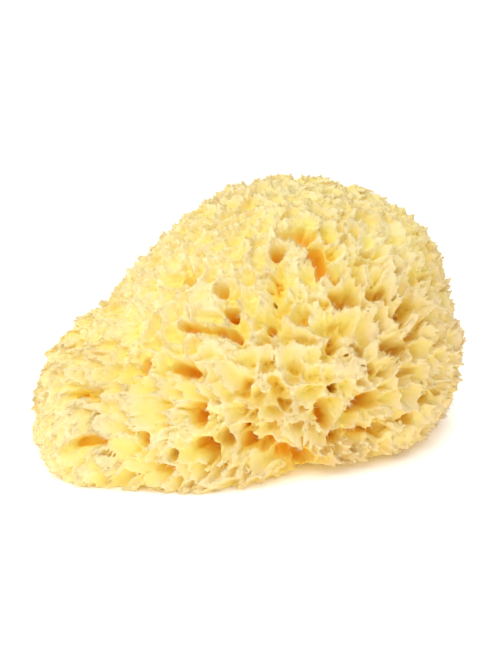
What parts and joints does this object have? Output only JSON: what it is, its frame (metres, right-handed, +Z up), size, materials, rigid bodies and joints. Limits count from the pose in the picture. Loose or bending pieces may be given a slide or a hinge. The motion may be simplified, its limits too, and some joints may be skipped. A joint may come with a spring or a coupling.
{
  "type": "sea sponge",
  "caption": "Natural bath sponge: a rounded loaf of soft fibre, low at one end and full at the other, pitted with canals, with a flat cut face to rest on.",
  "frame": {"origin": "middle of the bounding box's lower face, on the cut face", "axes": "+X along the longest side towards the tall end, +Z up from the cut face"},
  "size_m": [0.1504, 0.11, 0.0871],
  "materials": {
    "spongin": "soft matt horny fibre, slightly see-through at its frayed edges, darker orange in the canals"
  },
  "bodies": {
    "root": {"sponge": "spongin"}
  },
  "joints": []
}
